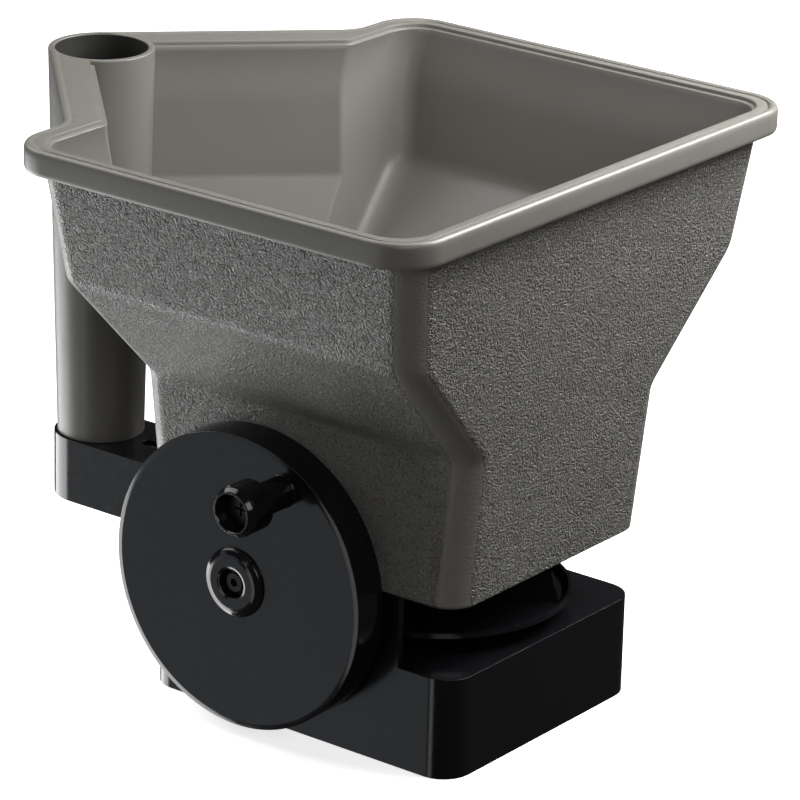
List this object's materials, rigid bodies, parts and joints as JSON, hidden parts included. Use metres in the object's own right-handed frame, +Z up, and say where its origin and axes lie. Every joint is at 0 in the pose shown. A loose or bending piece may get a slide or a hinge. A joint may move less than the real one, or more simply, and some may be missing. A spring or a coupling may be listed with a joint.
{
  "type": "salt_spreader",
  "caption": "Handheld salt spreader: wide hopper with a tubular handle on a geared base, a side crank wheel, a vaned spinner and a sliding flow gate",
  "frame": {"origin": "On the floor under the middle of the base box, at the centre of its resting face", "axes": "+Z up; -Y is the side the salt is thrown to; +Y is the handle side; the crank wheel is on -X"},
  "size_m": [0.2252, 0.2482, 0.213],
  "materials": {
    "hopper_grey": "satin grey moulded plastic with a pebbled grain on the outer walls",
    "base_black": "semi-gloss black moulded plastic",
    "crank_black": "polished black moulded plastic",
    "gear_nylon": "natural nylon, slightly waxy",
    "shaft_steel": "turned steel",
    "fastener_steel": "bright zinc plated steel",
    "fastener_black": "black oxide steel"
  },
  "bodies": {
    "frame": {"hopper": "hopper_grey", "base_box": "base_black", "gear_housing": "base_black", "base_cover": "base_black", "crank_axle": "shaft_steel", "thrust_washer": "gear_nylon", "axle_washer": "fastener_black", "axle_screw": "fastener_black", "cross_shaft_outer_bush": "gear_nylon", "cross_shaft_inner_bush": "gear_nylon", "spinner_lower_bush": "gear_nylon", "spinner_upper_bush": "gear_nylon", "hopper_screws": "fastener_steel", "housing_screws": "fastener_steel", "cover_screws": "fastener_steel", "handle_screw": "fastener_steel"},
    "crank": {"crank_wheel": "crank_black", "knob_screw": "fastener_black"},
    "knob": {"crank_knob": "crank_black"},
    "cross_drive": {"cross_shaft": "shaft_steel", "drive_pinion": "gear_nylon", "drive_bevel_gear": "gear_nylon"},
    "spinner": {"driven_bevel_gear": "gear_nylon", "spinner_shaft": "shaft_steel", "spinner_disc": "crank_black", "spinner_nut": "fastener_steel", "agitator": "gear_nylon"},
    "gate": {"flow_gate": "gear_nylon", "gate_tab": "base_black"}
  },
  "joints": [
    {"name": "crank_spin", "type": "hinge", "parent": "frame", "child": "crank", "pos_m": [-0.0655, 0.01385, 0.05885], "axis": [1, 0, 0], "continuous": true},
    {"name": "knob_spin", "type": "hinge", "parent": "crank", "child": "knob", "pos_m": [-0.0937, -0.00603, 0.09788], "axis": [1, 0, 0], "continuous": true},
    {"name": "cross_shaft_spin", "type": "hinge", "parent": "frame", "child": "cross_drive", "pos_m": [-0.0367, -0.01865, 0.02994], "axis": [1, 0, 0], "continuous": true},
    {"name": "spinner_spin", "type": "hinge", "parent": "frame", "child": "spinner", "pos_m": [0, -0.01865, 0.0397], "axis": [0, 0, 1], "continuous": true},
    {"name": "gate_slide", "type": "slide", "parent": "frame", "child": "gate", "axis": [0, 1, 0], "range_m": [0, 0.024]}
  ],
  "couplings": [
    {"joint": "cross_shaft_spin", "follows": "crank_spin", "ratio": 8.25},
    {"joint": "spinner_spin", "follows": "crank_spin", "ratio": -8.25}
  ]
}
